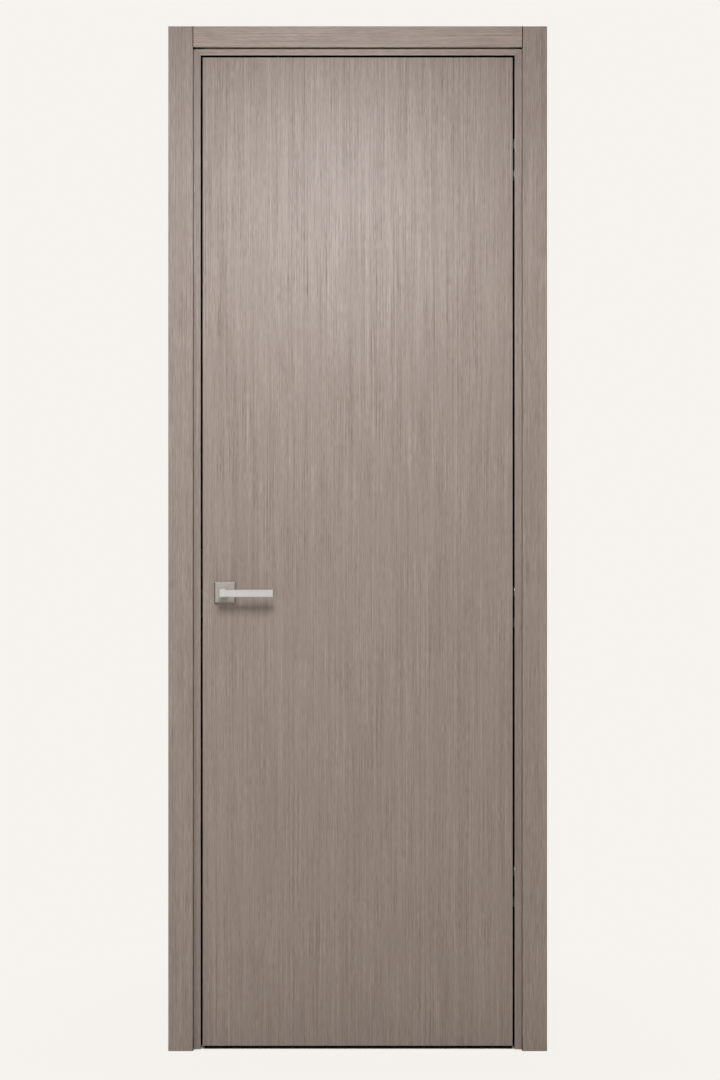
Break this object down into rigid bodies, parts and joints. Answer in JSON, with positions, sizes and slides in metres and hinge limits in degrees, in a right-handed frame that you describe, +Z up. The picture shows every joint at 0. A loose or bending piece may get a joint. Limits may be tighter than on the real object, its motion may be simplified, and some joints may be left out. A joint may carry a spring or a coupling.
{
  "type": "flush door with frame",
  "caption": "Full height flush door in a rebated frame with flat casing, square rose lever handle and concealed hinges",
  "frame": {"origin": "on the wall face of the hinge side jamb, at floor level, half way through the wall", "axes": "+Z up, +X out of the hinge side jamb into the wall, -Y towards the viewer, the side that the leaf opens to"},
  "size_m": [0.928, 0.194, 2.5105],
  "materials": {
    "leaf_laminate": "taupe straight grain laminate, satin, grain upright",
    "frame_laminate": "taupe straight grain laminate, satin, grain along each board",
    "leaf_edge": "taupe laminate edge band over solid timber",
    "core_board": "pressed particle board",
    "black_rubber": "black extruded rubber",
    "satin_nickel": "satin nickel plated zinc",
    "satin_steel": "satin stainless steel",
    "zinc_steel": "bright zinc plated steel",
    "hinge_zinc": "satin chromed cast zinc",
    "hinge_arm_steel": "polished steel"
  },
  "bodies": {
    "frame": {"jamb_hinge_side": "frame_laminate", "jamb_latch_side": "frame_laminate", "jamb_head": "frame_laminate", "casing_front_hinge_side": "frame_laminate", "casing_front_latch_side": "frame_laminate", "casing_front_head": "frame_laminate", "casing_back_hinge_side": "frame_laminate", "casing_back_latch_side": "frame_laminate", "casing_back_head": "frame_laminate", "seal_hinge_side": "black_rubber", "seal_latch_side": "black_rubber", "seal_head": "black_rubber", "strike_plate": "satin_steel", "hinge_top_frame_body": "hinge_zinc", "hinge_middle_frame_body": "hinge_zinc", "hinge_bottom_frame_body": "hinge_zinc"},
    "leaf": {"leaf_front_face": "leaf_laminate", "leaf_back_face": "leaf_laminate", "leaf_hinge_stile": "leaf_edge", "leaf_latch_stile": "leaf_edge", "leaf_top_rail": "leaf_edge", "leaf_bottom_rail": "leaf_edge", "leaf_core": "core_board", "bottom_seal": "black_rubber", "lock_case": "zinc_steel", "lock_faceplate": "satin_steel", "latch_bolt": "satin_steel", "rose_front": "satin_nickel", "rose_back": "satin_nickel", "hinge_top_leaf_body": "hinge_zinc", "hinge_middle_leaf_body": "hinge_zinc", "hinge_bottom_leaf_body": "hinge_zinc"},
    "lever": {"lever_front": "satin_nickel", "lever_back": "satin_nickel", "spindle": "zinc_steel"},
    "hinge_arms": {"hinge_top_arm": "hinge_arm_steel", "hinge_middle_arm": "hinge_arm_steel", "hinge_bottom_arm": "hinge_arm_steel"}
  },
  "joints": [
    {"name": "leaf_hinge", "type": "hinge", "parent": "frame", "child": "leaf", "pos_m": [-0.0425, -0.058, 1.225], "axis": [0, 0, 1], "range_deg": [0, 110]},
    {"name": "arm_hinge", "type": "hinge", "parent": "frame", "child": "hinge_arms", "pos_m": [-0.0425, -0.058, 1.225], "axis": [0, 0, 1], "range_deg": [0, 55]},
    {"name": "lever_turn", "type": "hinge", "parent": "leaf", "child": "lever", "pos_m": [-0.752, -0.036, 1.1235], "axis": [0, 1, 0], "range_deg": [0, 45], "stiffness_Nm_per_rad": 1.5, "springref_deg": -28.65}
  ],
  "couplings": [
    {"joint": "arm_hinge", "follows": "leaf_hinge", "ratio": 0.5}
  ]
}
